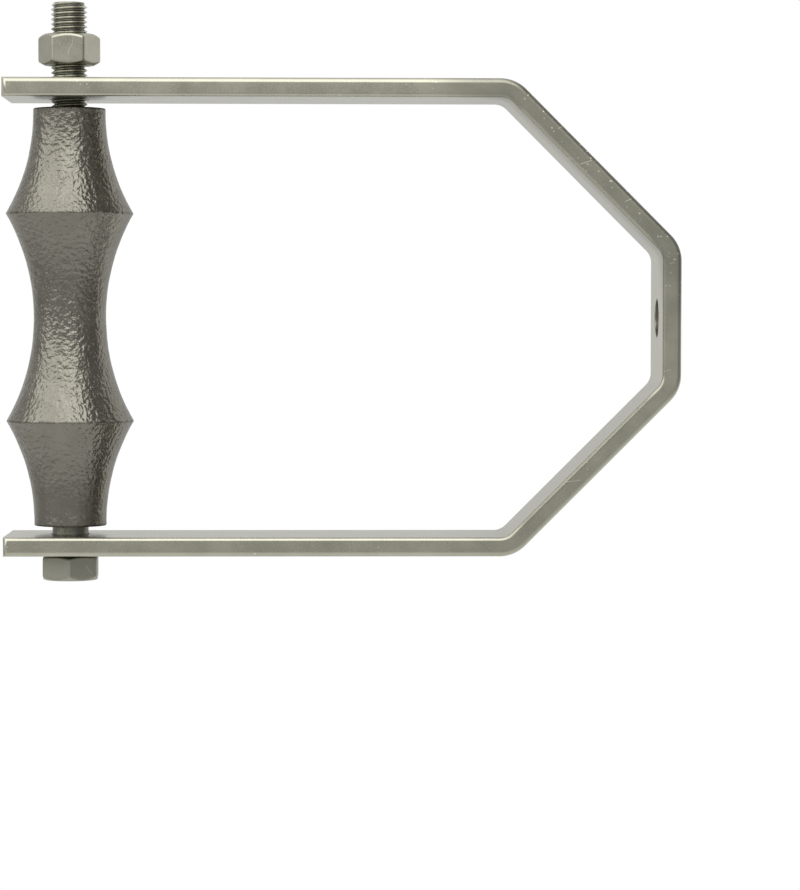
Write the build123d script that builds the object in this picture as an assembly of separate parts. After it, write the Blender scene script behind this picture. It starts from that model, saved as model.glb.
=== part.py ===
from build123d import *
import os
from math import pi, radians, sqrt, tan

# Roller loop hanger for one horizontal pipe.
#
# A flat steel bar is bent into a loop: two parallel legs, two sloping shoulders
# and a level web. A hex bolt crosses the open end of the legs and is the axle of
# a cast roller with a hollow saddle, and a nut closes the bolt. The loop hangs
# from a rod through the hole in the web, and the pipe lies in the roller's saddle.
#
# Frame, in millimetres: the origin is the middle of the rod hole at the web's
# upper face, +Z points up the rod, X runs along the axle and Y along the pipe.

# The bar
bar_thickness = 10.0
bar_width = 63.5
bar_edge_radius = 2.7
bend_inner_radius = 9.0

# The loop that the bar is bent to, measured on its inner faces
leg_gap = 228.6
web_inner_width = 66.8
shoulder_slope = 45.0
axle_to_web = 310.0
axle_to_leg_end = 33.0

# Holes in the bar
rod_hole_diameter = 20.64
leg_hole_clearance = 0.795

# The axle bolt and its nut, with the same hexagon
bolt_diameter = 19.05
bolt_past_nut = 16.55
bolt_tip_chamfer = 1.6
bolt_neck_radius = 0.8
bolt_head_height = 12.45
nut_height = 16.27
nut_bore_clearance = 0.05
nut_mouth_chamfer = 1.2
hex_across_flats = 28.575
hex_corner_radius = 1.4
hex_chamfer_slope = 30.0
head_seat_chamfer_slope = 18.0

# How the loose bolt and nut stand: gaps to the legs' outer faces, and turns about the axle
head_to_leg = 1.7
nut_to_leg = 8.0
head_turn = 0.8
nut_turn = 30.9

# The roller
roller_end_gap = 4.5
roller_waist_diameter = 38.1
roller_end_diameter = 38.1
roller_bore_clearance = 0.795
saddle_radius = 109.5
ridge_to_middle = 54.6
ridge_tip_radius = 0.6
horn_collar_length = 2.0
roller_rim_radius = 0.9

# Places that follow from the sizes above
axle_z = -bar_thickness - axle_to_web
leg_end_z = axle_z - axle_to_leg_end
leg_middle_x = (leg_gap + bar_thickness) / 2
leg_outer_x = leg_gap / 2 + bar_thickness
head_seat_x = leg_outer_x + head_to_leg
nut_seat_x = -leg_outer_x - nut_to_leg
bolt_length = head_seat_x - nut_seat_x + nut_height + bolt_past_nut
roller_length = leg_gap - 2 * roller_end_gap
axle = Axis((0, 0, axle_z), (1, 0, 0))


def axle_plane(x: float) -> Plane:
    """A plane across the axle at x. It faces the nut's end, and its angles start at -Y and turn to +Z."""
    return Plane((x, 0, axle_z), x_dir=(0, -1, 0), z_dir=(-1, 0, 0))


def axle_section_plane() -> Plane:
    """The plane of a turned piece's half section: x along the axle, y out from it."""
    return Plane((0, 0, axle_z), x_dir=(1, 0, 0), z_dir=(0, -1, 0))


def bar_corners() -> list[tuple[float, float]]:
    """Corners of the bar's middle line, as x and z, from one leg's end over the web to the other's."""
    half_bar = bar_thickness / 2
    web_turn = radians(shoulder_slope)
    leg_turn = pi / 2 - web_turn
    shoulder_rise = (leg_gap - web_inner_width) / 2 * tan(web_turn)
    web_corner = (web_inner_width / 2 + half_bar * tan(web_turn / 2), -half_bar)
    leg_corner = (leg_middle_x, -bar_thickness - shoulder_rise + half_bar * tan(leg_turn / 2))
    right_side = [web_corner, leg_corner, (leg_middle_x, leg_end_z)]
    left_side = [(-x, z) for x, z in reversed(right_side)]
    return left_side + right_side


def make_yoke() -> Part:
    """The bent bar, with rounded long edges, the rod hole and an axle hole in each leg."""
    with BuildPart() as yoke:
        with BuildSketch(Plane.XZ):
            with BuildLine():
                FilletPolyline(*bar_corners(), radius=bend_inner_radius + bar_thickness / 2)
            trace(line_width=bar_thickness)
        extrude(amount=bar_width / 2, both=True)
        fillet(yoke.faces().filter_by(Axis.Y).edges(), bar_edge_radius)
        Hole(rod_hole_diameter / 2)
        with Locations(axle_plane(0)):
            Hole(bolt_diameter / 2 + leg_hole_clearance)
    return yoke.part


def make_roller() -> Part:
    """The cast roller: a hollow saddle between two ridges, a flared horn outside each, and a plain bore."""
    bore_radius = bolt_diameter / 2 + roller_bore_clearance
    waist_radius = roller_waist_diameter / 2
    end_radius = roller_end_diameter / 2
    ridge_radius = waist_radius + saddle_radius - sqrt(saddle_radius**2 - ridge_to_middle**2)
    half_length = roller_length / 2
    with BuildPart() as roller:
        with BuildSketch(axle_section_plane()) as section:
            with BuildLine():
                ThreePointArc(
                    (-ridge_to_middle, ridge_radius), (0, waist_radius), (ridge_to_middle, ridge_radius)
                )
                for side in (-1, 1):
                    horn_end = (side * (half_length - horn_collar_length), end_radius)
                    ridge_tip = (side * ridge_to_middle, ridge_radius)
                    TangentArc(horn_end, ridge_tip, tangent=(-side, 0))
                    Polyline(horn_end, (side * half_length, end_radius), (side * half_length, bore_radius))
                Line((-half_length, bore_radius), (half_length, bore_radius))
            make_face()
            ridge_tips = section.vertices().group_by(Axis.Y)[-1]
            fillet(ridge_tips, ridge_tip_radius)
        revolve(axis=axle)
        rims = roller.edges().filter_by(GeomType.CIRCLE).group_by(Axis.X)
        for end_rims in (rims[0], rims[-1]):
            fillet(end_rims.sort_by(SortBy.RADIUS)[-1], roller_rim_radius)
    return roller.part


def hex_blank(seat_x: float, height: float, turn: float, seat_slope: float) -> Part:
    """
    A hexagon with turned chamfers on both ends.

    Args:
        seat_x: place along the axle of the end that faces the leg.
        height: length along the axle, positive towards the nut's end.
        turn: angle of the hexagon about the axle, in degrees.
        seat_slope: slope of the chamfer on the end that faces the leg, in degrees.

    Returns:
        The solid hexagon.
    """
    outward = -1 if height > 0 else 1
    flat_radius = hex_across_flats / 2
    corner_radius = hex_across_flats / sqrt(3)
    far_x = seat_x + outward * abs(height)
    seat_drop = (corner_radius - flat_radius) * tan(radians(seat_slope))
    far_drop = (corner_radius - flat_radius) * tan(radians(hex_chamfer_slope))
    with BuildPart() as blank:
        with BuildSketch(axle_plane(seat_x)) as hexagon:
            RegularPolygon(flat_radius, 6, major_radius=False, rotation=turn)
            fillet(hexagon.vertices(), hex_corner_radius)
        extrude(amount=height)
        with BuildSketch(axle_section_plane()):
            with BuildLine():
                Polyline(
                    (seat_x, 0),
                    (seat_x, flat_radius),
                    (seat_x + outward * seat_drop, corner_radius),
                    (far_x - outward * far_drop, corner_radius),
                    (far_x, flat_radius),
                    (far_x, 0),
                    close=True,
                )
            make_face()
        revolve(axis=axle, mode=Mode.INTERSECT)
    return blank.part


def make_axle_bolt() -> Part:
    """The hex bolt that is the roller's axle, from the head beyond one leg to the tip beyond the nut."""
    with BuildPart() as bolt:
        with BuildSketch(axle_plane(head_seat_x)):
            Circle(bolt_diameter / 2)
        extrude(amount=bolt_length)
        tip_rim = bolt.edges().filter_by(GeomType.CIRCLE).sort_by(Axis.X)[0]
        chamfer(tip_rim, bolt_tip_chamfer)
        add(hex_blank(head_seat_x, -bolt_head_height, head_turn, head_seat_chamfer_slope))
        seat_face = bolt.faces().filter_by(Axis.X).sort_by(Axis.X)[1]
        fillet(seat_face.edges().sort_by(SortBy.RADIUS)[0], bolt_neck_radius)
    return bolt.part


def make_axle_nut() -> Part:
    """The hex nut, backed off from its leg. Its bore and the bolt's end are drawn at the thread's outside."""
    bore_radius = bolt_diameter / 2 + nut_bore_clearance
    with BuildPart() as nut:
        add(hex_blank(nut_seat_x, nut_height, nut_turn, hex_chamfer_slope))
        with BuildSketch(axle_plane(nut_seat_x)):
            Circle(bore_radius)
        extrude(amount=nut_height, mode=Mode.SUBTRACT)
        mouths = nut.edges().filter_by(GeomType.CIRCLE).sort_by(SortBy.RADIUS)[:2]
        chamfer(mouths, nut_mouth_chamfer)
    return nut.part


sub_parts = {
    "yoke": make_yoke,
    "roller": make_roller,
    "axle_bolt": make_axle_bolt,
    "axle_nut": make_axle_nut,
}

os.makedirs("parts", exist_ok=True)
for name, make in sub_parts.items():
    export_step(make(), f"parts/{name}.step")
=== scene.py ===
"""A roller loop hanger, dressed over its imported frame: a bent bar, a cast roller, a hex bolt and its nut."""

import logging
import math
from collections.abc import Callable, Iterable, Mapping, Sequence
from dataclasses import dataclass
from enum import Enum
from functools import partial

import bmesh
import bpy
from mathutils import Matrix, Vector, noise

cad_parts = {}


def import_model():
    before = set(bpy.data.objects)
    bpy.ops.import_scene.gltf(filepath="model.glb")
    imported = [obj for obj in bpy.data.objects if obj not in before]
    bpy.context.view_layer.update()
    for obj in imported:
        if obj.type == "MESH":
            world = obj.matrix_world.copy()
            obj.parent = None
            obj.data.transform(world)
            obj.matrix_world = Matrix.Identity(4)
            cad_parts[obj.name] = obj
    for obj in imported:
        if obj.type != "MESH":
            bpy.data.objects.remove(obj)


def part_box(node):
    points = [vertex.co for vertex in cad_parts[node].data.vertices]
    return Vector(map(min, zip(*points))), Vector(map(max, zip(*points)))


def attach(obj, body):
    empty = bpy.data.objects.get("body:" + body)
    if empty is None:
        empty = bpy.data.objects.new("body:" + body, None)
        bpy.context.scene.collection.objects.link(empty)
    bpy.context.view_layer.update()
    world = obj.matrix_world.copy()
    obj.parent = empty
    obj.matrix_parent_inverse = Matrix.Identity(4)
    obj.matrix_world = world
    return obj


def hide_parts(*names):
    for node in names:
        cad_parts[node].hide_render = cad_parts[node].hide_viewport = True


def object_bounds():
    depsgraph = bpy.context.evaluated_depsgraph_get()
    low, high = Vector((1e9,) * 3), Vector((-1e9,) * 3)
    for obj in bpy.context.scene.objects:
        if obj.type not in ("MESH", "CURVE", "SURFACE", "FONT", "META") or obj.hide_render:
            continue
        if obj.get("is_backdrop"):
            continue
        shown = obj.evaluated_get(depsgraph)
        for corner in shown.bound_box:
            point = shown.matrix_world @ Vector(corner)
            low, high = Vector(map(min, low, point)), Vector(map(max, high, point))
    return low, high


MM = 0.001
DIAGONAL = math.sqrt(0.5)
FULL_TURN = 2 * math.pi
ALONG_AXLE = Vector((1, 0, 0))
BELOW_AXLE = Vector((0, 0, -1))
UPPER_FRONT_EDGE = (-0.8 * DIAGONAL, -0.6, 0.8 * DIAGONAL)
BARE_METAL = (0.66, 0.65, 0.56)
WHITE = (1.0, 1.0, 1.0)

# Distances, in metres, within which places count as one
SAME_PLACE = 1e-7
MIRROR_SEAM = 1e-6
SPUN_SEAM = 2e-6

# The longest share of a side that one rounding takes, and the shortest side that counts as one
LONGEST_REACH = 0.48
SHORTEST_SIDE = 1e-9

# Sockets of a Mix node that mixes colours
MIX_SHARE, MIX_FIRST, MIX_SECOND, MIX_RESULT = 0, 6, 7, 2
Tone = bpy.types.NodeSocket | Sequence[float]

log = logging.getLogger("hanger")


class Value:
    """A number that varies over a surface, written with Python's operators."""

    def __init__(self, shader: "Shader", socket: bpy.types.NodeSocket) -> None:
        """Wraps one output socket."""
        self.shader = shader
        self.socket = socket

    def __add__(self, other: "Value | float") -> "Value":
        """Adds."""
        return self.shader.maths("ADD", self, other)

    __radd__ = __add__

    def __sub__(self, other: "Value | float") -> "Value":
        """Subtracts the other."""
        return self.shader.maths("SUBTRACT", self, other)

    def __rsub__(self, other: float) -> "Value":
        """Subtracts from the other."""
        return self.shader.maths("SUBTRACT", other, self)

    def __mul__(self, other: "Value | float") -> "Value":
        """Multiplies."""
        return self.shader.maths("MULTIPLY", self, other)

    __rmul__ = __mul__

    def __truediv__(self, other: "Value | float") -> "Value":
        """Divides by the other."""
        return self.shader.maths("DIVIDE", self, other)

    def __lt__(self, other: "Value | float") -> "Value":
        """Gives 1 where this is less."""
        return self.shader.maths("LESS_THAN", self, other)

    def __abs__(self) -> "Value":
        """Drops the sign."""
        return self.shader.maths("ABSOLUTE", self)

    def clamped(self) -> "Value":
        """Keeps the number from 0 to 1."""
        return self.shader.maths("ADD", self, 0.0, clamp=True)

    def centred(self) -> "Value":
        """Moves a grain's middle from a half to 0."""
        return self - 0.5

    def eased(self, start: float, end: float) -> "Value":
        """
        Rises smoothly over a range, or falls where end is the lower.

        Args:
            start: where the result is 0.
            end: where the result is 1.

        Returns:
            A number from 0 to 1.
        """
        low, high = min(start, end), max(start, end)
        node = self.shader.node(
            "ShaderNodeMapRange",
            {"interpolation_type": "SMOOTHSTEP"},
            {"Value": self, "From Min": low, "From Max": high},
        )
        rise = Value(self.shader, node.outputs["Result"])
        return rise if start < end else 1 - rise


class Shader:
    """The nodes of one material or world."""

    def __init__(self, tree: bpy.types.NodeTree) -> None:
        """Empties the tree."""
        self.tree = tree
        tree.nodes.clear()

    def node(
        self,
        kind: str,
        settings: Mapping[str, object] | None = None,
        inputs: Mapping[str | int, object] | None = None,
    ) -> bpy.types.Node:
        """
        Adds a node.

        Args:
            kind: the node's type.
            settings: the node's own properties, which are set first.
            inputs: a value or a link for each socket, by its name or number.

        Returns:
            The node.
        """
        made = self.tree.nodes.new(kind)
        for name, setting in (settings or {}).items():
            setattr(made, name, setting)
        for name, value in (inputs or {}).items():
            if isinstance(value, (Value, bpy.types.NodeSocket)):
                source = value.socket if isinstance(value, Value) else value
                self.tree.links.new(source, made.inputs[name])
            else:
                made.inputs[name].default_value = value
        return made

    def maths(self, operation: str, *values: Value | float, clamp: bool = False) -> Value:
        """Adds a Math node over the values."""
        settings = {"operation": operation, "use_clamp": clamp}
        return Value(self, self.node("ShaderNodeMath", settings, dict(enumerate(values))).outputs[0])

    def position(self) -> bpy.types.NodeSocket:
        """The place on the piece, in the object's own coordinates."""
        return self.node("ShaderNodeTexCoord").outputs["Object"]

    def split(self, vector: bpy.types.NodeSocket) -> tuple[Value, Value, Value]:
        """The three parts of a vector."""
        parts = self.node("ShaderNodeSeparateXYZ", inputs={"Vector": vector}).outputs
        return Value(self, parts[0]), Value(self, parts[1]), Value(self, parts[2])

    def grain(
        self, vector: bpy.types.NodeSocket, size: float, detail: float = 2.0, roughness: float = 0.5
    ) -> Value:
        """
        Soft noise.

        Args:
            vector: where the noise is read.
            size: length of its larger features, in metres.
            detail: number of finer layers.
            roughness: strength of each finer layer.

        Returns:
            A number about 0.5.
        """
        inputs = {"Vector": vector, "Scale": 1.0 / size, "Detail": detail, "Roughness": roughness}
        return Value(self, self.node("ShaderNodeTexNoise", inputs=inputs).outputs["Fac"])

    def mixed(self, share: Value | float, first: Tone, second: Tone) -> bpy.types.NodeSocket:
        """A colour that goes from the first to the second as share goes from 0 to 1."""
        inputs = {MIX_SHARE: share, MIX_FIRST: first, MIX_SECOND: second}
        return self.node("ShaderNodeMix", {"data_type": "RGBA"}, inputs).outputs[MIX_RESULT]

    def bumped(
        self, height: Value, depth: float, under: bpy.types.NodeSocket | None = None
    ) -> bpy.types.NodeSocket:
        """
        Raises a surface.

        Args:
            height: share of the depth that the surface rises by.
            depth: the rise where height is 1, in metres.
            under: any normal that this one lies over.

        Returns:
            The raised surface's normal.
        """
        inputs = {"Strength": 1.0, "Distance": depth, "Height": height}
        if under is not None:
            inputs["Normal"] = under
        return self.node("ShaderNodeBump", inputs=inputs).outputs[0]

    def metal(self, colour: Tone, roughness: Value, grazing: float, normal: bpy.types.NodeSocket) -> None:
        """
        Closes a material as bare metal.

        Args:
            colour: its colour seen straight on.
            roughness: its roughness.
            grazing: grey level of its reflections at grazing angles.
            normal: its normal.
        """
        surface = self.node(
            "ShaderNodeBsdfPrincipled",
            inputs={
                "Base Color": colour,
                "Metallic": 1.0,
                "Roughness": roughness,
                "Specular Tint": opaque((grazing,) * 3),
                "Normal": normal,
            },
        )
        self.node("ShaderNodeOutputMaterial", inputs={"Surface": surface.outputs[0]})


def opaque(colour: Sequence[float]) -> tuple[float, ...]:
    """The colour with full alpha."""
    return (*colour, 1.0)


def new_material(name: str) -> tuple[bpy.types.Material, Shader]:
    """
    Makes an empty material.

    Args:
        name: its name.

    Returns:
        The material and its nodes.
    """
    material = bpy.data.materials.new(name)
    material.use_nodes = True
    return material, Shader(material.node_tree)


@dataclass(frozen=True)
class Scratch:
    """A fine line in a piece's front, from one point to another in the plane of X and Z."""

    start: tuple[float, float]
    end: tuple[float, float]
    width: float
    fade: float = 0.2

    def mask(self, x: Value, z: Value) -> Value:
        """
        Where the scratch is.

        Args:
            x: place along X.
            z: place along Z.

        Returns:
            1 on the line, falling to 0 at its edges.
        """
        run = Vector(self.end) - Vector(self.start)
        way = run.normalized()
        across = (x - self.start[0]) * -way.y + (z - self.start[1]) * way.x
        along = (x - self.start[0]) * way.x + (z - self.start[1]) * way.y
        fade = run.length * self.fade
        ends = along.eased(0.0, fade) * along.eased(run.length, run.length - fade)
        return (1 - abs(across) / self.width).clamped() * ends


@dataclass(frozen=True)
class DirtAndPaintedLight:
    """A band of tone across one direction, or round a line along X. Some are real soil and wear; others are
    painted shade, and one is a painted highlight.
    """

    start: float
    full: float
    share: float
    way: tuple[float, float, float] = (0.0, 0.0, 0.0)
    axle_z: float | None = None
    tone: float = 0.4
    gone: float | None = None
    along: tuple[float, float] | None = None
    specked: bool = False
    end_softness: float = 8 * MM

    def mask(self, shader: Shader, place: Sequence[Value]) -> Value:
        """
        Where the band is.

        Args:
            shader: the material's nodes.
            place: place along X, Y and Z.

        Returns:
            0 before start, 1 from full on, where full may be the lower, and 0 again past gone.
        """
        x, y, z = place
        if self.axle_z is None:
            distance = x * self.way[0] + y * self.way[1] + z * self.way[2]
        else:
            height = z - self.axle_z
            distance = shader.maths("SQRT", y * y + height * height)
        mask = distance.eased(self.start, self.full)
        if self.gone is not None:
            mask = mask * distance.eased(self.gone, self.gone - self.full + self.start)
        if self.along:
            along = x * self.way[2] - z * self.way[0]
            low, high = self.along
            mask = mask * along.eased(low, low + self.end_softness)
            mask = mask * along.eased(high, high - self.end_softness)
        return mask


@dataclass(frozen=True)
class PlatedSteel:
    """Satin plated steel, with fine grain, worn specks, scratches, and bands of soil, wear, painted shade and
    painted highlight.
    """

    name: str
    colour: tuple[float, float, float]
    shade: tuple[float, float, float]
    roughness: float
    grazing: float
    grain_depth: float
    speck_share: float
    mottle: float = 1.3
    scratches: tuple[Scratch, ...] = ()
    front: float = 0.0
    dirt_and_painted_light: tuple[DirtAndPaintedLight, ...] = ()
    patch_size: float = 14 * MM
    patch_contrast: float = 1.6
    patch_roughness: float = 0.14
    grain_size: float = 0.5 * MM
    grain_roughness: float = 0.1
    wave_size: float = 9 * MM
    wave_depth: float = 0.05 * MM
    cloud_size: float = 30 * MM
    cloud_edge: tuple[float, float] = (0.52, 0.66)
    band_roughness: float = 0.15
    mark_strength: float = 0.7
    mark_height: float = 0.4
    speck_cell: float = 1.7 * MM
    speck_edge: tuple[float, float] = (0.34, 0.14)

    def build(self) -> bpy.types.Material:
        """
        Makes the material.

        Returns:
            The material.
        """
        material, shader = new_material(self.name)
        place = shader.position()
        x, y, z = shader.split(place)
        patches = shader.grain(place, self.patch_size, detail=3.0, roughness=0.55)
        fine = shader.grain(place, self.grain_size, roughness=0.6)
        waves = shader.grain(place, self.wave_size, detail=1.0, roughness=0.4)
        worn = shader.grain(place, self.cloud_size).eased(*self.cloud_edge)
        mottling = fine.centred() * self.mottle
        share = patches.centred() * self.patch_contrast + mottling + 0.5
        tone = shader.mixed(share.clamped(), opaque(self.shade), opaque(self.colour))
        rough = patches.centred() * self.patch_roughness + fine.centred() * self.grain_roughness
        rough = rough + self.roughness
        # Bands of soil and wear, and of painted shade and painted highlight, mixed over the tone.
        for dirt_and_painted_light in self.dirt_and_painted_light:
            mask = dirt_and_painted_light.mask(shader, (x, y, z))
            band_tone = tuple(dirt_and_painted_light.tone * part for part in self.shade)
            spread = mask * dirt_and_painted_light.share * (mottling + 1)
            tone = shader.mixed(spread, tone, opaque(band_tone))
            rough = rough + spread * self.band_roughness
            if dirt_and_painted_light.specked:
                worn = shader.maths("MAXIMUM", worn, mask)
        marks = self._specks(shader, place) * worn
        for scratch in self.scratches:
            marks = marks + scratch.mask(x, z) * (y < self.front)
        marks = marks.clamped()
        base = shader.mixed(marks * self.mark_strength, tone, opaque(BARE_METAL))
        normal = shader.bumped(waves, self.wave_depth)
        normal = shader.bumped(fine + marks * self.mark_height, self.grain_depth, normal)
        shader.metal(base, rough, self.grazing, normal)
        return material

    def _specks(self, shader: Shader, place: bpy.types.NodeSocket) -> Value:
        """
        Draws small bright spots, on a few cells of a random net.

        Args:
            shader: the material's nodes.
            place: the place on the piece.

        Returns:
            1 on a spot, falling to 0 at its edge.
        """
        cells = shader.node("ShaderNodeTexVoronoi", inputs={"Vector": place, "Scale": 1.0 / self.speck_cell})
        chance = shader.split(cells.outputs["Color"])[0]
        spot = Value(shader, cells.outputs["Distance"]).eased(*self.speck_edge)
        return spot * (chance < self.speck_share)


@dataclass(frozen=True)
class CastIron:
    """Dark coated cast iron with the puckered skin that the mould leaves, calmer towards one end, a dark line
    along each ridge, and painted shade at both rims.
    """

    name: str
    colour: tuple[float, float, float]
    shade: tuple[float, float, float]
    roughness: float
    pucker: float
    pore: float
    ridge_to_middle: float
    ridge_line: float
    rim_shade_starts: float
    calm_starts: float
    grazing: float = 0.6
    patch_size: float = 12 * MM
    patch_edge: tuple[float, float] = (0.3, 0.7)
    pucker_size: float = 2.2 * MM
    pore_size: float = 0.6 * MM
    pore_roughness: float = 0.12
    calm_run: float = 25 * MM
    calm_share: float = 0.5
    calm_roughness: float = 0.07
    sway_size: float = 3.5 * MM
    sway_reach: float = 1.8 * MM
    ridge_core: float = 0.09 * MM
    ridge_gaps: tuple[float, float] = (0.35, 0.55)
    ridge_share: float = 0.65
    # Painted shade at each rim: its run to full darkness and its share.
    rim_shade_run: float = 1 * MM
    rim_share: float = 0.7
    dark_tone: float = 0.35

    def build(self) -> bpy.types.Material:
        """
        Makes the material.

        Returns:
            The material.
        """
        material, shader = new_material(self.name)
        place = shader.position()
        across = shader.split(place)[0]
        patches = shader.grain(place, self.patch_size, detail=3.0, roughness=0.55)
        calm = across.eased(self.calm_starts, self.calm_starts + self.calm_run)
        puckers = shader.grain(place, self.pucker_size, detail=1.1).centred() * (1 - calm * self.calm_share)
        pores = shader.grain(place, self.pore_size, roughness=0.55)
        sway = shader.grain(place, self.sway_size)
        along = abs(across) - self.ridge_to_middle + sway.centred() * self.sway_reach
        ridge = abs(along).eased(self.ridge_line, self.ridge_core) * sway.eased(*self.ridge_gaps)
        # Painted shade: both ends darken at the rim, where the gap to each leg is dark.
        rim = abs(across).eased(self.rim_shade_starts, self.rim_shade_starts + self.rim_shade_run)
        ridge_lines_and_rim_shade = shader.maths("MAXIMUM", ridge * self.ridge_share, rim * self.rim_share)
        dark = tuple(self.dark_tone * part for part in self.shade)
        tone = shader.mixed(patches.eased(*self.patch_edge), opaque(self.shade), opaque(self.colour))
        tone = shader.mixed(ridge_lines_and_rim_shade, tone, opaque(dark))
        rough = pores.centred() * self.pore_roughness + calm * self.calm_roughness + self.roughness
        normal = shader.bumped(puckers, self.pucker)
        normal = shader.bumped(pores, self.pore, normal)
        shader.metal(tone, rough, self.grazing, normal)
        return material


@dataclass(frozen=True)
class Corner:
    """A corner of a section: its place along the axle and out from it, and how far its rounding reaches."""

    along: float
    out: float
    rounding: float = 0.0


def soften(corners: Sequence[Corner], steps: int = 4) -> list[Vector]:
    """
    Rounds the corners of an open section.

    Args:
        corners: the section's corners in order.
        steps: number of short runs in each rounding.

    Returns:
        Points (along, out). Every rounding has steps + 1 of them, however short its sides are.
    """
    points = []
    places = [Vector((corner.along, corner.out)) for corner in corners]
    for number, corner in enumerate(corners):
        here = places[number]
        if corner.rounding == 0.0:
            points.append(here)
            continue
        before = places[number - 1] - here
        after = places[number + 1] - here
        start = here + before * min(LONGEST_REACH, corner.rounding / max(before.length, SHORTEST_SIDE))
        end = here + after * min(LONGEST_REACH, corner.rounding / max(after.length, SHORTEST_SIDE))
        for step in range(steps + 1):
            share = step / steps
            points.append(start.lerp(here, share).lerp(here.lerp(end, share), share))
    return points


def only(kind: type, geometry: Iterable[object]) -> list:
    """The parts of a bmesh result that are of one kind."""
    return [part for part in geometry if isinstance(part, kind)]


def whole(bm: bmesh.types.BMesh) -> list:
    """All the vertices, edges and faces of a mesh."""
    return list(bm.verts) + list(bm.edges) + list(bm.faces)


def draw_line(
    bm: bmesh.types.BMesh, points: Sequence[Vector], closed: bool
) -> list[bmesh.types.BMEdge]:
    """
    Draws a line of edges, each vertex extruded from the one before.

    Args:
        bm: the mesh to draw in.
        points: the places of the vertices.
        closed: whether the last is joined to the first.

    Returns:
        The edges.
    """
    first = bmesh.ops.create_vert(bm, co=points[0])["vert"][0]
    last = first
    edges = []
    for point in points[1:]:
        made = bmesh.ops.extrude_vert_indiv(bm, verts=[last])
        last = made["verts"][0]
        last.co = point
        edges.extend(made["edges"])
    if closed:
        edges.append(bm.edges.new((last, first)))
    return edges


@dataclass(frozen=True)
class Piece:
    """A finished piece: its name, the frame's node that it replaces, and its body; its material slot name is
    not used.
    """

    name: str
    node: str
    body: str
    slot: str

    def finish(
        self,
        bm: bmesh.types.BMesh,
        material: bpy.types.Material,
        crease: float = 32.0,
        weighted: bool = True,
    ) -> bpy.types.Object:
        """
        Turns a finished bmesh into the piece's object.

        Args:
            bm: the mesh, which is freed.
            material: its finish.
            crease: angle in degrees past which an edge stays sharp.
            weighted: whether the large faces set the shading of the small ones.

        Returns:
            The object.
        """
        bmesh.ops.recalc_face_normals(bm, faces=bm.faces)
        made = object_from(bm, self.name)
        made.data.materials.append(material)
        made.data.shade_smooth()
        made.data.set_sharp_from_angle(angle=math.radians(crease))
        if weighted:
            weighting = made.modifiers.new("Even shading", "WEIGHTED_NORMAL")
            weighting.keep_sharp = True
        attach(made, self.body)
        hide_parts(self.node)
        return made


def object_from(bm: bmesh.types.BMesh, name: str) -> bpy.types.Object:
    """
    Puts a mesh into the scene.

    Args:
        bm: the mesh, which is freed.
        name: the new object's name.

    Returns:
        The object, at the origin.
    """
    mesh = bpy.data.meshes.new(name)
    bm.to_mesh(mesh)
    bm.free()
    made = bpy.data.objects.new(name, mesh)
    bpy.context.collection.objects.link(made)
    return made


def spun(points: Sequence[Vector], centre: Vector, axis: Vector, steps: int) -> bmesh.types.BMesh:
    """
    Turns a closed section once about the axle: a quarter of it, which is then mirrored twice.

    Args:
        points: the section's corners, in order, right below the axle.
        centre: a point on the axle.
        axis: the axle's direction.
        steps: number of faces round.

    Returns:
        The closed mesh.
    """
    quarters = 4
    bm = bmesh.new()
    edges = draw_line(bm, points, closed=True)
    bmesh.ops.spin(
        bm,
        geom=list(bm.verts) + edges,
        cent=centre,
        axis=axis,
        dvec=(0, 0, 0),
        angle=FULL_TURN / quarters,
        steps=steps // quarters,
        use_merge=False,
        use_duplicate=False,
    )
    for across in ("Y", "Z"):
        moved = Matrix.Translation(-centre)
        bmesh.ops.mirror(bm, geom=whole(bm), matrix=moved, merge_dist=SAME_PLACE, axis=across)
    bmesh.ops.recalc_face_normals(bm, faces=bm.faces)
    return bm


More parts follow.
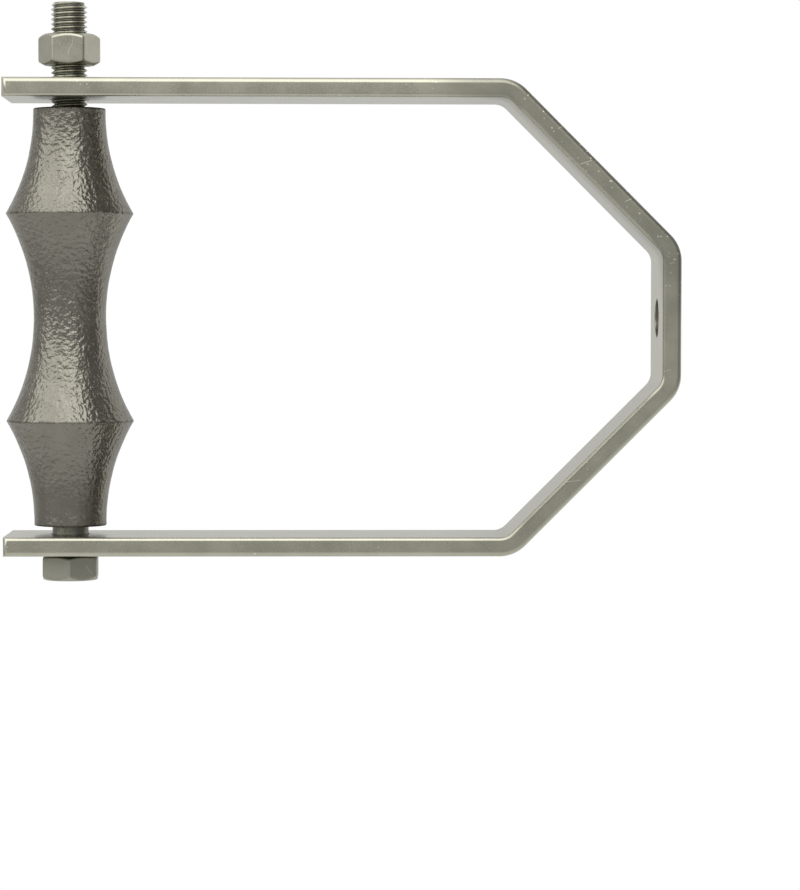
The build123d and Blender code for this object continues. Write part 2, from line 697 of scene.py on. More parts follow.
@dataclass(frozen=True)
class Yoke:
    """The flat bar bent to a loop, with rounded long edges, a rod hole and an axle hole in each leg."""

    bar_thickness: float = 10.0 * MM
    outer_edge_radius: float = 2.7 * MM
    inner_edge_radius: float = 1.9 * MM
    bend_inner_radius: float = 9.0 * MM
    web_inner_width: float = 66.8 * MM
    shoulder_slope: float = 45.0
    rod_hole_diameter: float = 20.64 * MM
    leg_hole_diameter: float = 20.64 * MM
    hole_edge_rounding: float = 0.5 * MM
    bend_steps: int = 20
    edge_steps: int = 7
    hole_steps: int = 96
    drill_overrun: float = 2.5 * MM
    rung_tolerance: float = 0.02 * MM

    def build(self, material: bpy.types.Material, axle_z: float) -> bpy.types.Object:
        """
        Models the bar.

        Args:
            material: its finish.
            axle_z: height of the axle.

        Returns:
            The bar's object.
        """
        low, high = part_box("yoke")
        bm = self._half_strip(high.x, low.z)
        bmesh.ops.mirror(bm, geom=whole(bm), merge_dist=MIRROR_SEAM, axis="X")
        self._thicken(bm, high.y)
        bmesh.ops.mirror(bm, geom=whole(bm), merge_dist=MIRROR_SEAM, axis="Y")
        bmesh.ops.recalc_face_normals(bm, faces=bm.faces)
        bar = object_from(bm, "bar_blank")
        self._drill(bar, self.rod_hole_diameter / 2, Vector((0, 0, high.z)), Vector((0, 0, -1)))
        for side in (-1, 1):
            outside = Vector((side * high.x, 0, axle_z))
            self._drill(bar, self.leg_hole_diameter / 2, outside, Vector((-side, 0, 0)))
        drilled = bmesh.new()
        drilled.from_mesh(bar.data)
        bpy.data.objects.remove(bar)
        return Piece("yoke_bar", "yoke", "hanger", "bar_steel").finish(drilled, material)

    def _half_strip(self, outer_x: float, end_z: float) -> bmesh.types.BMesh:
        """
        Draws one half of the loop as a flat strip in the middle plane.

        Args:
            outer_x: place of the leg's outer face.
            end_z: height of the leg's end.

        Returns:
            The strip, from the middle of the web to the leg's end.
        """
        thickness, radius = self.bar_thickness, self.bend_inner_radius
        slope = math.radians(self.shoulder_slope)
        leg_turn = math.pi / 2 - slope
        inner_x = outer_x - thickness
        rise = (inner_x - self.web_inner_width / 2) * math.tan(slope)
        web_centre_x = self.web_inner_width / 2 - radius * math.tan(slope / 2)
        web_centre = Vector((web_centre_x, 0, -thickness - radius))
        leg_centre_z = -thickness - rise - radius * math.tan(leg_turn / 2)
        leg_centre = Vector((inner_x - radius, 0, leg_centre_z))
        shoulder = leg_centre - web_centre
        bm = bmesh.new()
        edges = draw_line(bm, [Vector((0, 0, 0)), Vector((0, 0, -thickness))], closed=False)
        edges = self._straight(bm, edges, Vector((web_centre.x, 0, 0)))
        edges = self._bend(bm, edges, web_centre, slope)
        edges = self._straight(bm, edges, shoulder)
        edges = self._bend(bm, edges, leg_centre, leg_turn)
        self._straight(bm, edges, Vector((0, 0, end_z - leg_centre.z)))
        return bm

    @staticmethod
    def _straight(
        bm: bmesh.types.BMesh, edges: list[bmesh.types.BMEdge], run: Vector
    ) -> list[bmesh.types.BMEdge]:
        """
        Runs the strip on in a straight line.

        Args:
            bm: the strip.
            edges: its present end, one edge.
            run: how far it runs on.

        Returns:
            Its new end.
        """
        made = bmesh.ops.extrude_edge_only(bm, edges=edges)["geom"]
        bmesh.ops.translate(bm, vec=run, verts=only(bmesh.types.BMVert, made))
        return only(bmesh.types.BMEdge, made)[:1]

    def _bend(
        self, bm: bmesh.types.BMesh, edges: list[bmesh.types.BMEdge], centre: Vector, turn: float
    ) -> list[bmesh.types.BMEdge]:
        """
        Runs the strip on round a bend.

        Args:
            bm: the strip.
            edges: its present end, one edge.
            centre: the bend's centre.
            turn: the bend's angle.

        Returns:
            Its new end.
        """
        made = bmesh.ops.spin(
            bm,
            geom=list(edges[0].verts) + edges,
            cent=centre,
            axis=(0, 1, 0),
            dvec=(0, 0, 0),
            angle=turn,
            steps=self.bend_steps,
            use_merge=False,
            use_duplicate=False,
        )
        return only(bmesh.types.BMEdge, made["geom_last"])

    def _thicken(self, bm: bmesh.types.BMesh, half_width: float) -> None:
        """
        Draws the strip out to the front face, with both its edges rounded in small insets.

        Args:
            bm: the strip.
            half_width: how far the front face stands from the middle plane.
        """
        front = bmesh.ops.extrude_face_region(bm, geom=list(bm.faces), use_keep_orig=False)["geom"]
        faces = only(bmesh.types.BMFace, front)
        across = self.bar_thickness
        self._shape_edges(faces, across, half_width, 0.0, 0.0)
        done = 0.0
        for step in range(1, self.edge_steps + 1):
            angle = math.pi / 2 * step / self.edge_steps
            share = 1 - math.cos(angle)
            run = self.outer_edge_radius * (share - done)
            bmesh.ops.inset_region(bm, faces=faces, thickness=run, use_boundary=True, use_even_offset=True)
            across -= 2 * run
            widening = (self.outer_edge_radius - self.inner_edge_radius) * (share - done)
            self._shape_edges(faces, across, half_width, widening, math.sin(angle))
            across += widening
            done = share
        hidden = [face for face in bm.faces if all(abs(vert.co.y) < SAME_PLACE for vert in face.verts)]
        bmesh.ops.delete(bm, geom=hidden, context="FACES_ONLY")

    def _shape_edges(
        self,
        faces: Iterable[bmesh.types.BMFace],
        across: float,
        half_width: float,
        widening: float,
        depth: float,
    ) -> None:
        """
        Puts one ring of the rounded edges in its place.

        Args:
            faces: the strip's front faces, whose border is the ring.
            across: the strip's present width.
            half_width: how far the front face stands from the middle plane.
            widening: how far the ring moves out on the inner side.
            depth: share of each edge's radius that the ring has come forward.
        """
        for edge in {edge for face in faces for edge in face.edges}:
            inner, outer = sorted(edge.verts, key=lambda vert: abs(vert.co.x) + vert.co.z)
            run = Vector((inner.co.x - outer.co.x, 0, inner.co.z - outer.co.z))
            if abs(run.length - across) > self.rung_tolerance:
                continue
            inner.co += run.normalized() * widening
            inner.co.y = self.inner_edge_radius * (1 - depth) - half_width
            outer.co.y = self.outer_edge_radius * (1 - depth) - half_width

    def _drill(self, bar: bpy.types.Object, radius: float, mouth: Vector, way: Vector) -> None:
        """
        Cuts a round hole with softened mouths through the bar.

        Args:
            bar: the bar.
            radius: the hole's radius.
            mouth: middle of the hole in the bar's outer face.
            way: direction of the drill.
        """
        thickness, soft, overrun = self.bar_thickness, self.hole_edge_rounding, self.drill_overrun
        wide, knee, knee_radius = radius + soft, soft / 2, radius + soft / 8
        section = soften(
            [
                Corner(-overrun, 0.0),
                Corner(-overrun, wide),
                Corner(0.0, wide),
                Corner(knee, knee_radius, knee),
                Corner(soft, radius),
                Corner(thickness - soft, radius),
                Corner(thickness - knee, knee_radius, knee),
                Corner(thickness, wide),
                Corner(thickness + overrun, wide),
                Corner(thickness + overrun, 0.0),
            ]
        )
        across = Vector((0, 1, 0))
        points = [mouth + way * point.x + across * point.y for point in section]
        bm = bmesh.new()
        edges = draw_line(bm, points, closed=False)
        bmesh.ops.spin(
            bm,
            geom=list(bm.verts) + edges,
            cent=mouth,
            axis=way,
            dvec=(0, 0, 0),
            angle=FULL_TURN,
            steps=self.hole_steps,
            use_merge=True,
            use_duplicate=False,
        )
        bmesh.ops.remove_doubles(bm, verts=bm.verts, dist=SPUN_SEAM)
        bmesh.ops.recalc_face_normals(bm, faces=bm.faces)
        cutter = object_from(bm, "drill")
        cut = bar.modifiers.new("Hole", "BOOLEAN")
        cut.operation = "DIFFERENCE"
        cut.solver = "EXACT"
        cut.object = cutter
        graph = bpy.context.evaluated_depsgraph_get()
        mesh = bpy.data.meshes.new_from_object(bar.evaluated_get(graph))
        bar.modifiers.remove(cut)
        bar.data = mesh
        bpy.data.objects.remove(cutter)


@dataclass(frozen=True)
class Roller:
    """The cast roller: a hollow saddle between two ridges, a flared horn outside each, and a plain bore."""

    waist_diameter: float = 38.1 * MM
    bore_diameter: float = 20.64 * MM
    saddle_radius: float = 109.5 * MM
    ridge_to_middle: float = 54.6 * MM
    ridge_rounding: float = 0.7 * MM
    collar_length: float = 2.0 * MM
    rim_rounding: float = 1.0 * MM
    skin_step: float = 0.72 * MM
    steps_round: int = 270
    tip_steps: int = 3
    wander: float = 0.12 * MM
    wander_size: float = 11 * MM
    pucker: float = 0.05 * MM
    pucker_size: float = 2.3 * MM
    pucker_shift: tuple[float, float, float] = (7.0, 3.0, 5.0)
    bore_border: float = 1 * MM
    bore_blend: float = 2 * MM
    rim_blend: float = 3 * MM
    rim_share: float = 0.25

    def build(self, material: bpy.types.Material, axle_z: float) -> bpy.types.Object:
        """
        Models the roller.

        Args:
            material: its finish.
            axle_z: height of the axle.

        Returns:
            The roller's object.
        """
        half_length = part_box("roller")[1].x
        centre = Vector((0, 0, axle_z))
        section = self._section(half_length)
        points = [centre + ALONG_AXLE * point.x + BELOW_AXLE * point.y for point in section]
        bm = spun(points, centre, ALONG_AXLE, self.steps_round)
        self._cast(bm, centre, half_length)
        roller = Piece("cast_roller", "roller", "roller", "cast_iron")
        return roller.finish(bm, material, crease=40.0, weighted=False)

    def _section(self, half_length: float) -> list[Vector]:
        """
        Draws the half section.

        Args:
            half_length: how far the roller's end stands from its middle.

        Returns:
            The section's points (along, out), in order.
        """
        waist, bore = self.waist_diameter / 2, self.bore_diameter / 2
        sag = self.saddle_radius - math.sqrt(self.saddle_radius**2 - self.ridge_to_middle**2)
        ridge = waist + sag
        horn_end = half_length - self.collar_length
        run = horn_end - self.ridge_to_middle
        horn_radius = (run**2 + sag**2) / (2 * sag)
        saddle = self._arc(self.ridge_to_middle, self.saddle_radius, waist + self.saddle_radius)
        horn = self._arc(run, horn_radius, waist + horn_radius)
        right = [Vector((horn_end - place, out)) for place, out in reversed(horn)]
        rim = soften(
            [
                Corner(horn_end, waist),
                Corner(half_length, waist, self.rim_rounding),
                Corner(half_length, bore + self.rim_rounding),
                Corner(half_length - self.rim_rounding, bore),
            ]
        )
        middle = [Vector((place, out)) for place, out in saddle]
        half = middle[:-1] + self._ridge(middle[-2], right[1], ridge) + right[2:-1] + rim
        mirrored = [Vector((-point.x, point.y)) for point in reversed(half[1:])]
        return mirrored + half

    def _arc(self, run: float, radius: float, centre_out: float) -> list[tuple[float, float]]:
        """
        Draws an arc that starts level and rises away from the axle.

        Args:
            run: how far it goes along the axle.
            radius: its radius.
            centre_out: how far its centre stands out from the axle.

        Returns:
            Its points (along, out), from along 0 on.
        """
        sweep = math.asin(run / radius)
        steps = max(2, round(radius * sweep / self.skin_step))
        angles = [sweep * step / steps for step in range(steps + 1)]
        return [(radius * math.sin(angle), centre_out - radius * math.cos(angle)) for angle in angles]

    def _ridge(self, before: Vector, after: Vector, top: float) -> list[Vector]:
        """
        Draws the rounded tip between the saddle and the horn.

        Args:
            before: the saddle's last point.
            after: the horn's first point.
            top: how far the sharp tip would stand out from the axle.

        Returns:
            The tip's points and the horn's first.
        """
        corners = [
            Corner(before.x, before.y),
            Corner(self.ridge_to_middle, top, self.ridge_rounding),
            Corner(after.x, after.y),
        ]
        return soften(corners, self.tip_steps)[1:]

    def _cast(self, bm: bmesh.types.BMesh, centre: Vector, half_length: float) -> None:
        """
        Gives the outside the uneven skin of a casting, which only goes inwards from the true form.

        Args:
            bm: the roller.
            centre: a point on the axle.
            half_length: how far the roller's end stands from its middle.
        """
        bm.normal_update()
        true_radius = self.bore_diameter / 2 + self.bore_border
        shift = Vector(self.pucker_shift)
        moves = []
        for vert in bm.verts:
            spoke = Vector((0, vert.co.y - centre.y, vert.co.z - centre.z))
            inside = min(1.0, max(0.0, (spoke.length - true_radius) / self.bore_blend))
            rim = min(1.0, (half_length - abs(vert.co.x)) / self.rim_blend + self.rim_share)
            broad = noise.noise(vert.co / self.wander_size)
            small = noise.noise(vert.co / self.pucker_size + shift)
            depth = self.wander * (0.5 + broad) + self.pucker * (0.5 + small)
            moves.append(-depth * inside * rim)
        for vert, move in zip(bm.verts, moves):
            vert.co += vert.normal * move


@dataclass(frozen=True)
class HexForm:
    """A hexagon's outline and chamfers, in the sizes of a standard nut or bolt head."""

    turn: float
    face_circle_inset: float
    across_flats: float = 28.575 * MM
    corner_rounding: float = 1.7 * MM
    corner_steps: int = 7
    flat_cuts: int = 13
    sides: int = 6

    def outline(self, bm: bmesh.types.BMesh) -> list[bmesh.types.BMEdge]:
        """
        Draws the outline as one loop of edges, and keeps each vertex's place on it in a layer.

        Args:
            bm: the mesh to draw in.

        Returns:
            The loop's edges.
        """
        corner_radius = self.across_flats / math.sqrt(3)
        bmesh.ops.create_circle(bm, cap_ends=True, radius=corner_radius, segments=self.sides)
        bmesh.ops.bevel(
            bm,
            geom=list(bm.verts),
            offset=self.corner_rounding * math.tan(math.pi / self.sides),
            affect="VERTICES",
            segments=self.corner_steps,
            profile=0.5,
            material=-1,
        )
        flats = [edge for edge in bm.edges if edge.calc_length() > self.corner_rounding]
        bmesh.ops.subdivide_edges(bm, edges=flats, cuts=self.flat_cuts)
        bmesh.ops.delete(bm, geom=list(bm.faces), context="FACES_ONLY")
        spin = Matrix.Rotation(math.radians(self.turn), 3, "Z")
        spoke = bm.verts.layers.float_vector.new("spoke")
        for vert in bm.verts:
            turned = spin @ vert.co
            vert[spoke] = Vector((0, -turned.y, -turned.x))
        return list(bm.edges)

    def drop(self, out: float, slope: float) -> float:
        """How far a chamfer has come down from the end face where the outline is out from the axle."""
        return (out - self.across_flats / 2 + self.face_circle_inset) * math.tan(math.radians(slope))


def loft(
    bm: bmesh.types.BMesh,
    loop: list[bmesh.types.BMEdge],
    section: Callable[[float], list[Vector]],
    origin: Vector,
    way: float,
) -> None:
    """
    Draws a loop along the axle, each of its vertices on its own section.

    Args:
        bm: the mesh, whose vertices have their place on the outline in the layer spoke.
        loop: the loop's edges.
        section: gives the points (along, out) for an outline that is so far out.
        origin: the point of the axle where along is 0.
        way: 1 where along goes to +X, and -1 where it goes to -X.
    """
    spoke = bm.verts.layers.float_vector["spoke"]
    verts = {vert for edge in loop for vert in edge.verts}
    rows = len(section(max(vert[spoke].length for vert in verts)))
    for row in range(rows):
        if row:
            made = bmesh.ops.extrude_edge_only(bm, edges=loop)["geom"]
            verts = set(only(bmesh.types.BMVert, made))
            loop = [edge for edge in only(bmesh.types.BMEdge, made) if set(edge.verts) <= verts]
        for vert in verts:
            point = section(vert[spoke].length)[row]
            vert.co = origin + ALONG_AXLE * (way * point.x) + vert[spoke].normalized() * point.y


@dataclass(frozen=True)
class AxleNut:
    """The hex nut, backed off from its leg, with turned chamfers and a chamfered bore."""

    form: HexForm = HexForm(turn=30.9, face_circle_inset=1.25 * MM)
    bore_radius: float = 9.575 * MM
    mouth_chamfer: float = 1.2 * MM
    chamfer_slope: float = 30.0
    outer_edge_reach: float = 1.1 * MM
    seat_edge_reach: float = 0.7 * MM
    face_edge_reach: float = 0.4 * MM

    def build(self, material: bpy.types.Material, axle_z: float) -> bpy.types.Object:
        """
        Models the nut.

        Args:
            material: its finish.
            axle_z: height of the axle.

        Returns:
            The nut's object.
        """
        low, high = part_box("axle_nut")
        section = partial(self._section, high.x - low.x)
        bm = bmesh.new()
        loft(bm, self.form.outline(bm), section, Vector((high.x, 0, axle_z)), -1)
        bmesh.ops.remove_doubles(bm, verts=bm.verts, dist=SAME_PLACE)
        return Piece("hex_nut", "axle_nut", "nut", "nut_steel").finish(bm, material, crease=25.0)

    def _section(self, height: float, out: float) -> list[Vector]:
        """
        Draws the nut's closed section where its outline is so far out from the axle.

        Args:
            height: the nut's height.
            out: how far out the outline is.

        Returns:
            The points (along, out), from the leg's side on.
        """
        face = self.form.across_flats / 2 - self.form.face_circle_inset
        mouth = self.bore_radius + self.mouth_chamfer
        drop = self.form.drop(out, self.chamfer_slope)
        return soften(
            [
                Corner(self.mouth_chamfer, self.bore_radius),
                Corner(0.0, mouth),
                Corner(0.0, face, self.face_edge_reach),
                Corner(drop, out, self.seat_edge_reach),
                Corner(height - drop, out, self.outer_edge_reach),
                Corner(height, face, self.face_edge_reach),
                Corner(height, mouth),
                Corner(height - self.mouth_chamfer, self.bore_radius),
                Corner(self.mouth_chamfer, self.bore_radius),
            ]
        )


@dataclass(frozen=True)
class Thread:
    """A coarse right-hand thread."""

    pitch: float = 2.54 * MM
    outer_radius: float = 9.5 * MM
    depth: float = 1.6 * MM
    crest_width: float = 0.3 * MM
    root_width: float = 0.45 * MM
    length: float = 63.5 * MM
    run_out: float = 3.0 * MM
    steps_per_turn: int = 96
    spare_turns: int = 2
    root_reach: float = 0.2 * MM
    crest_reach: float = 0.1 * MM
    crest_below_axle: float = -151.3 * MM

    def profile(self) -> list[Vector]:
        """
        Draws one turn's section.

        Returns:
            The points (along, out), from the middle of a root to the next.
        """
        root_radius = self.outer_radius - self.depth
        crest_start = (self.pitch - self.crest_width) / 2
        root_half = self.root_width / 2
        return soften(
            [
                Corner(0.0, root_radius),
                Corner(root_half, root_radius, self.root_reach),
                Corner(crest_start, self.outer_radius, self.crest_reach),
                Corner(self.pitch - crest_start, self.outer_radius, self.crest_reach),
                Corner(self.pitch - root_half, root_radius, self.root_reach),
                Corner(self.pitch, root_radius),
            ],
            steps=2,
        )


@dataclass(frozen=True)
class AxleBolt:
    """The hex bolt that is the roller's axle: a head with turned chamfers, a plain shank and a thread."""

    form: HexForm = HexForm(turn=0.8, face_circle_inset=0.45 * MM)
    thread: Thread = Thread()
    shank_radius: float = 9.525 * MM
    head_height: float = 12.45 * MM
    neck_reach: float = 0.8 * MM
    tip_chamfer: float = 1.6 * MM
    outer_slope: float = 30.0
    seat_slope: float = 18.0
    outer_edge_reach: float = 1.8 * MM
    seat_edge_reach: float = 0.7 * MM
    face_edge_reach: float = 0.6 * MM
    seat_face_reach: float = 0.3 * MM
    bridge_run: float = 1 * MM

    def build(self, material: bpy.types.Material, axle_z: float) -> bpy.types.Object:
        """
        Models the bolt.

        Args:
            material: its finish.
            axle_z: height of the axle.

        Returns:
            The bolt's object.
        """
        low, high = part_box("axle_bolt")
        tip = Vector((low.x, 0, axle_z))
        thread_end = low.x + self.thread.length
        bm = self._threaded_end(tip, thread_end)
        shank = bmesh.new()
        seat = Vector((high.x - self.head_height, 0, axle_z))
        self._headed_shank(shank, seat, seat.x - thread_end - self.bridge_run)
        holder = bpy.data.meshes.new("shank")
        shank.to_mesh(holder)
        shank.free()
        bm.from_mesh(holder)
        bpy.data.meshes.remove(holder)
        open_edges = [edge for edge in bm.edges if edge.is_boundary]
        bmesh.ops.bridge_loops(bm, edges=open_edges)
        return Piece("hex_bolt", "axle_bolt", "axle", "bolt_steel").finish(bm, material, crease=50.0)

    def _headed_shank(self, bm: bmesh.types.BMesh, seat: Vector, shank_length: float) -> None:
        """
        Models the head and the plain shank, which is left open at its end.

        Args:
            bm: the mesh to model in.
            seat: middle of the head's seat.
            shank_length: the shank's length.
        """
        loop = self.form.outline(bm)
        loft(bm, loop, partial(self._section, shank_length), seat, 1)
        middle = [edge for edge in loop if edge.is_boundary]
        bmesh.ops.edgeloop_fill(bm, edges=middle)

    def _section(self, shank_length: float, out: float) -> list[Vector]:
        """
        Draws the bolt's open section where the head's outline is so far out from the axle.

        Args:
            shank_length: the shank's length.
            out: how far out the outline is.

        Returns:
            The points (along, out), from the head's outer face on.
        """
        face = self.form.across_flats / 2 - self.form.face_circle_inset
        outer_drop = self.form.drop(out, self.outer_slope)
        seat_drop = self.form.drop(out, self.seat_slope)
        return soften(
            [
                Corner(self.head_height, face / 2),
                Corner(self.head_height, face, self.face_edge_reach),
                Corner(self.head_height - outer_drop, out, self.outer_edge_reach),
                Corner(seat_drop, out, self.seat_edge_reach),
                Corner(0.0, face, self.seat_face_reach),
                Corner(0.0, self.shank_radius, self.neck_reach),
                Corner(-2 * self.neck_reach, self.shank_radius),
                Corner(-shank_length, self.shank_radius),
            ]
        )

    def _threaded_end(self, tip: Vector, thread_end: float) -> bmesh.types.BMesh:
        """
        Winds the thread about the axle.

        Args:
            tip: middle of the bolt's tip.
            thread_end: place along X where the plain shank starts.

        Returns:
            The threaded end, closed at the tip and open at the shank.
        """
        thread = self.thread
        turns_before = math.ceil((thread.crest_below_axle - tip.x) / thread.pitch) + thread.spare_turns
        start_x = thread.crest_below_axle - thread.pitch / 2 - turns_before * thread.pitch
        turns = math.ceil((thread_end - start_x) / thread.pitch) + 1
        start = Vector((start_x, 0, tip.z))
        points = [start + ALONG_AXLE * point.x + BELOW_AXLE * point.y for point in thread.profile()]
        bm = bmesh.new()
        edges = draw_line(bm, points, closed=False)
        bmesh.ops.spin(
            bm,
            geom=list(bm.verts) + edges,
            cent=(0, 0, tip.z),
            axis=ALONG_AXLE,
            dvec=(thread.pitch / thread.steps_per_turn, 0, 0),
            angle=FULL_TURN,
            steps=thread.steps_per_turn,
            use_merge=False,
            use_duplicate=False,
        )
        one_turn = whole(bm)
        for turn in range(1, turns):
            copied = bmesh.ops.duplicate(bm, geom=one_turn)["geom"]
            further = ALONG_AXLE * (turn * thread.pitch)
            bmesh.ops.translate(bm, vec=further, verts=only(bmesh.types.BMVert, copied))
        bmesh.ops.remove_doubles(bm, verts=bm.verts, dist=SPUN_SEAM)
        self._fade_thread(bm, tip, thread_end)
        for place, way in ((tip.x, -1), (thread_end, 1)):
            bmesh.ops.bisect_plane(
                bm,
                geom=whole(bm),
                dist=SAME_PLACE,
                plane_co=(place, 0, 0),
                plane_no=ALONG_AXLE * way,
                clear_outer=True,
                clear_inner=False,
            )
        rim = [
            edge
            for edge in bm.edges
            if edge.is_boundary and all(abs(vert.co.x - tip.x) < MIRROR_SEAM for vert in edge.verts)
        ]
        bmesh.ops.edgeloop_fill(bm, edges=rim)
        return bm

    def _fade_thread(self, bm: bmesh.types.BMesh, tip: Vector, thread_end: float) -> None:
        """
        Runs the thread out into the shank, and cuts it to the tip's chamfer.

        Args:
            bm: the wound thread.
            tip: middle of the bolt's tip.
            thread_end: place along X where the plain shank starts.
        """
        thread = self.thread
        for vert in bm.verts:
            spoke = Vector((0, vert.co.y, vert.co.z - tip.z))
            faded = (vert.co.x - thread_end + thread.run_out) / thread.run_out
            plain = min(1.0, max(0.0, faded))
            out = spoke.length + (self.shank_radius - spoke.length) * plain
            cone = self.shank_radius - self.tip_chamfer + max(0.0, vert.co.x - tip.x)
            out = min(out, cone)
            vert.co = Vector((vert.co.x, 0, tip.z)) + spoke.normalized() * out


class Light(Enum):
    """The tones of the studio that the metal reflects."""

    FRONT = (0.61, 0.61, 0.6)
    BELOW = (1.18, 1.18, 1.16)
    DARK_SIDE = (0.41, 0.41, 0.405)
    KEY = (2.6, 2.6, 2.56)
    FRONT_KEY = (3.2, 3.2, 3.15)
    SEAM = (2.0, 2.0, 1.97)
    OVERHEAD = (2.1, 2.1, 2.07)
    BEHIND = (1.5, 1.5, 1.49)
    BACKDROP = (1.0, 1.0, 1.0)


ALL_ROUND = (-201, -200, 200, 201)


@dataclass(frozen=True)
class Panel:
    """A soft-edged panel of one tone: where it starts, is full, is full until and ends, in degrees."""

    light: Light
    azimuth: tuple[float, float, float, float]
    elevation: tuple[float, float, float, float]

    def mask(self, azimuth: Value, elevation: Value) -> Value:
        """
        Where the panel is.

        Args:
            azimuth: angle round the axle, 0 towards -Y and 90 towards +Z.
            elevation: angle towards -X.

        Returns:
            1 on the panel, falling to 0 past its edges.
        """
        start, full, until, end = self.azimuth
        share = azimuth.eased(start, full) * azimuth.eased(end, until)
        start, full, until, end = self.elevation
        return share * elevation.eased(start, full) * elevation.eased(end, until)


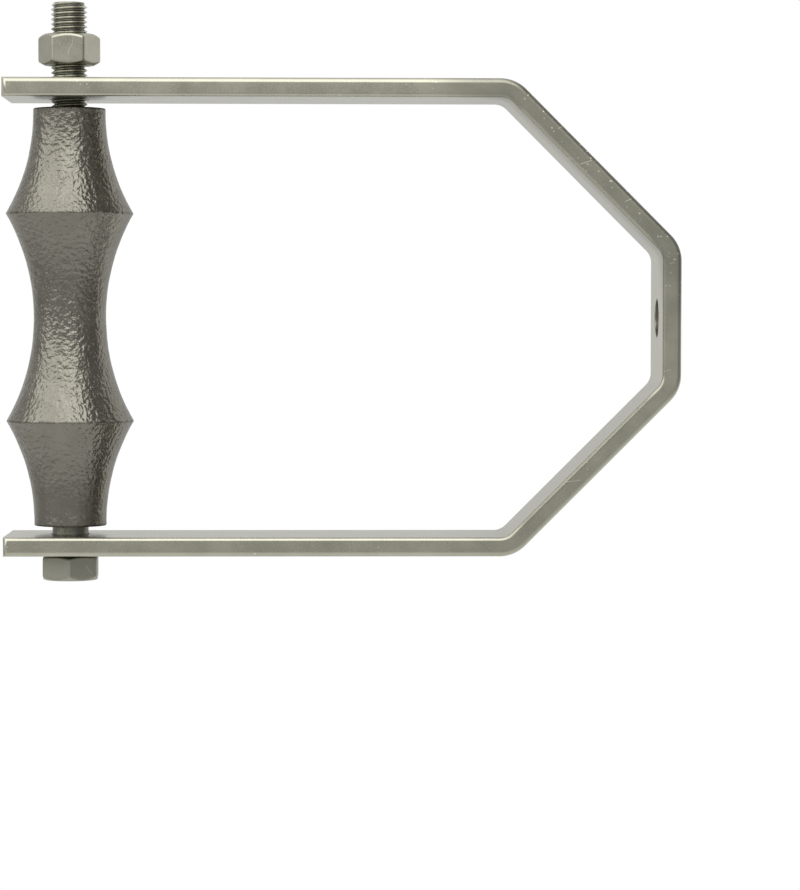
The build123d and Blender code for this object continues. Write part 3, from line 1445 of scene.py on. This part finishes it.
@dataclass(frozen=True)
class Studio:
    """A pale studio: the camera where the photograph was taken, panels of soft light, and a white floor."""

    camera_place: tuple[float, float, float] = (-2.479 * MM, -1765.83 * MM, -191.983 * MM)
    yaw: float = 1.4965
    pitch: float = 2.2627
    roll: float = 0.0663
    focal_length: float = 135.06
    sensor: float = 36.0
    floor_drop: float = 120 * MM
    floor_size: float = 12.0
    backdrop_fade: tuple[float, float] = (94.0, 140.0)
    backdrop_end: tuple[float, float] = (150.0, 174.0)
    backdrop_shift: float = 9.0
    panels: tuple[Panel, ...] = (
        Panel(Light.DARK_SIDE, (25, 49, 200, 201), (-44, -4, 62, 84)),
        Panel(Light.BELOW, ALL_ROUND, (-100, -99, -42, -6)),
        Panel(Light.SEAM, (-50, -40, -16, -8), (8, 26, 100, 101)),
        Panel(Light.KEY, (-100, -82, -44, -32), (1, 14, 100, 101)),
        Panel(Light.KEY, (-125, -95, -44, -32), (40, 56, 100, 101)),
        Panel(Light.FRONT_KEY, (-24, -14, 22, 38), (7, 27, 100, 101)),
        Panel(Light.FRONT_KEY, (-24, -14, 33, 52), (30, 46, 100, 101)),
        Panel(Light.OVERHEAD, ALL_ROUND, (70, 86, 100, 101)),
    )
    floor_tone: tuple[float, float, float] = (0.9, 0.9, 0.9)
    floor_glow: float = 0.7
    floor_fade: tuple[float, float] = (0.45, 1.0)

    def build(self) -> None:
        """Makes the camera, the world and the floor."""
        self._camera()
        self._world()
        self._floor()
        bpy.context.scene.view_settings.view_transform = "Standard"

    def _camera(self) -> None:
        """Places the camera, which looks along +Y with +Z to the right of the picture."""
        data = bpy.data.cameras.new("camera")
        data.lens = self.focal_length
        data.sensor_width = self.sensor
        camera = bpy.data.objects.new("camera", data)
        bpy.context.collection.objects.link(camera)
        level = Matrix(((0, -1, 0), (0, 0, -1), (1, 0, 0)))
        aim = (
            Matrix.Rotation(math.radians(-self.yaw), 3, "Y")
            @ Matrix.Rotation(math.radians(-self.pitch), 3, "X")
            @ Matrix.Rotation(math.radians(self.roll), 3, "Z")
        )
        camera.matrix_world = Matrix.Translation(self.camera_place) @ (level @ aim).to_4x4()
        bpy.context.scene.camera = camera

    def _world(self) -> None:
        """Paints the panels round the hanger, with the photograph's side at azimuth 0."""
        world = bpy.data.worlds.new("studio")
        world.use_nodes = True
        bpy.context.scene.world = world
        shader = Shader(world.node_tree)
        x, y, z = shader.split(shader.node("ShaderNodeTexCoord").outputs["Generated"])
        azimuth = shader.maths("ARCTAN2", z, 0.0 - y) * math.degrees(1)
        elevation = shader.maths("ARCSINE", 0.0 - x) * math.degrees(1)
        colour = opaque(Light.FRONT.value)
        for panel in self.panels:
            colour = shader.mixed(panel.mask(azimuth, elevation), colour, opaque(panel.light.value))
            if panel.light is Light.BELOW:
                behind = abs(azimuth + self.backdrop_shift).eased(*self.backdrop_fade)
                colour = shader.mixed(behind, colour, opaque(Light.BEHIND.value))
                middle = abs(azimuth).eased(*self.backdrop_end)
                colour = shader.mixed(middle, colour, opaque(Light.BACKDROP.value))
        path = shader.node("ShaderNodeLightPath").outputs
        seen = Value(shader, path["Is Camera Ray"])
        colour = shader.mixed(seen, colour, opaque(Light.BACKDROP.value))
        background = shader.node("ShaderNodeBackground", inputs={"Color": colour, "Strength": 1.0})
        shader.node("ShaderNodeOutputWorld", inputs={"Surface": background.outputs[0]})

    def _floor(self) -> None:
        """Lays a pale floor below the leg ends, which shows white and keeps the hanger's shadow."""
        floor_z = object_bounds()[0].z - self.floor_drop
        bm = bmesh.new()
        bmesh.ops.create_grid(bm, x_segments=1, y_segments=1, size=self.floor_size / 2)
        bmesh.ops.translate(bm, vec=(0, 0, floor_z), verts=bm.verts)
        floor = object_from(bm, "floor")
        material, shader = new_material("pale_floor")
        matt = shader.node("ShaderNodeBsdfDiffuse", inputs={"Color": opaque(self.floor_tone)})
        glow = shader.node("ShaderNodeEmission", inputs={"Color": opaque(WHITE), "Strength": 1.0})
        path = shader.node("ShaderNodeLightPath").outputs
        seen = shader.maths(
            "MAXIMUM", Value(shader, path["Is Camera Ray"]), Value(shader, path["Is Glossy Ray"])
        )
        x, y = shader.split(shader.position())[:2]
        far = shader.maths("SQRT", x * x + y * y).eased(*self.floor_fade)
        share = seen * (self.floor_glow + (1 - self.floor_glow) * far)
        shown = shader.node("ShaderNodeMixShader", inputs={0: share, 1: matt.outputs[0], 2: glow.outputs[0]})
        shader.node("ShaderNodeOutputMaterial", inputs={"Surface": shown.outputs[0]})
        floor.data.materials.append(material)
        floor.visible_glossy = False
        floor.visible_shadow = False
        floor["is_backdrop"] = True


BAR_FINISH = PlatedSteel(
    name="satin_plated_bar",
    colour=(0.378, 0.373, 0.307),
    shade=(0.312, 0.307, 0.252),
    roughness=0.28,
    grazing=0.8,
    grain_depth=0.006 * MM,
    speck_share=0.24,
    scratches=(
        Scratch((-79.6 * MM, -53.9 * MM), (-82.0 * MM, -46.7 * MM), 0.3 * MM),
        Scratch((-60.2 * MM, -30.5 * MM), (-62.1 * MM, -26.3 * MM), 0.25 * MM),
        Scratch((28.0 * MM, -9.8 * MM), (26.7 * MM, -5.3 * MM), 0.25 * MM),
        Scratch((85.4 * MM, -60.7 * MM), (84.3 * MM, -51.8 * MM), 0.25 * MM),
        Scratch((-97.8 * MM, -65.2 * MM), (-99.8 * MM, -62.1 * MM), 0.25 * MM),
    ),
    front=-20 * MM,
    dirt_and_painted_light=(
        # Painted shade: the bar turns darker from the legs towards the web.
        DirtAndPaintedLight(start=-135 * MM, full=-85 * MM, share=0.16, way=(0.0, 0.0, 1.0)),
        # Painted shade: the front is darker over the shoulder on the -X side, fading out across the web and
        # down its leg.
        DirtAndPaintedLight(start=9 * MM, full=30 * MM, share=0.42, way=UPPER_FRONT_EDGE),
        # Darker along the outer edge of the shoulder on the -X side.
        DirtAndPaintedLight(start=37.9 * MM, full=39.1 * MM, share=0.68, way=UPPER_FRONT_EDGE),
        DirtAndPaintedLight(start=34 * MM, full=36.6 * MM, share=0.0, way=UPPER_FRONT_EDGE, specked=True),
        DirtAndPaintedLight(start=18 * MM, full=25 * MM, share=0.35, way=(-0.25, -0.6, 0.75), specked=True),
        # Painted shade: dims the highlight on the inner edge of the shoulder on the +X side.
        DirtAndPaintedLight(
            start=16.6 * MM,
            full=17.2 * MM,
            share=0.5,
            way=(DIAGONAL, 0.0, DIAGONAL),
            gone=19.1 * MM,
            along=(36 * MM, 140 * MM),
        ),
        # Painted highlight: a lighter band along the inner edge of the shoulder on the -X side.
        DirtAndPaintedLight(
            start=16.6 * MM,
            full=17.2 * MM,
            share=0.3,
            way=(-DIAGONAL, 0.0, DIAGONAL),
            tone=1.7,
            gone=18.6 * MM,
            along=(-140 * MM, -36 * MM),
        ),
    ),
)
BOLT_FINISH = PlatedSteel(
    name="plated_bolt",
    mottle=2.0,
    colour=(0.52, 0.513, 0.432),
    shade=(0.42, 0.414, 0.348),
    roughness=0.24,
    grazing=0.7,
    grain_depth=0.006 * MM,
    speck_share=0.04,
    scratches=(Scratch((129.6 * MM, -311.7 * MM), (135.5 * MM, -307.7 * MM), 0.2 * MM),),
    front=-5 * MM,
    dirt_and_painted_light=(
        # Darker towards the thread's roots.
        DirtAndPaintedLight(start=9.1 * MM, full=8.1 * MM, share=0.8, axle_z=-320 * MM, tone=0.3),
        # Painted shade: the shank between the roller and the leg, and the head past it, darker than the
        # thread.
        DirtAndPaintedLight(start=96 * MM, full=104 * MM, share=0.9, way=(1.0, 0.0, 0.0)),
        # The head's own tone, mixed back over that painted shade.
        DirtAndPaintedLight(start=116 * MM, full=118 * MM, share=0.6, way=(1.0, 0.0, 0.0), tone=0.8),
    ),
)
NUT_FINISH = PlatedSteel(
    name="plated_nut",
    mottle=2.0,
    colour=(0.385, 0.38, 0.314),
    shade=(0.28, 0.275, 0.226),
    roughness=0.3,
    grazing=0.6,
    grain_depth=0.005 * MM,
    speck_share=0.04,
    scratches=(
        Scratch((-146.6 * MM, -316.8 * MM), (-141.8 * MM, -317.7 * MM), 0.22 * MM),
        Scratch((-142.8 * MM, -317.4 * MM), (-139.0 * MM, -319.3 * MM), 0.22 * MM),
        Scratch((-139.8 * MM, -319.1 * MM), (-136.4 * MM, -319.6 * MM), 0.28 * MM),
    ),
    front=-12 * MM,
)
IRON_FINISH = CastIron(
    name="dark_cast_iron",
    colour=(0.174, 0.167, 0.142),
    shade=(0.152, 0.145, 0.123),
    roughness=0.24,
    pucker=0.76 * MM,
    pore=0.09 * MM,
    ridge_to_middle=54.6 * MM,
    ridge_line=0.9 * MM,
    # Painted shade at each rim starts here.
    rim_shade_starts=108.4 * MM,
    calm_starts=76 * MM,
)


def main() -> None:
    """Dresses the frame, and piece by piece."""
    logging.basicConfig(level=logging.INFO, format="%(message)s")
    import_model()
    bpy.context.view_layer.update()
    low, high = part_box("roller")
    axle_z = (low.z + high.z) / 2
    pieces = (
        Yoke().build(BAR_FINISH.build(), axle_z),
        Roller().build(IRON_FINISH.build(), axle_z),
        AxleBolt().build(BOLT_FINISH.build(), axle_z),
        AxleNut().build(NUT_FINISH.build(), axle_z),
    )
    for piece in pieces:
        triangles = sum(len(face.vertices) - 2 for face in piece.data.polygons)
        log.info("%s is done, with %d triangles", piece.name, triangles)
    Studio().build()
    bpy.context.view_layer.update()


if __name__ == "__main__":
    main()
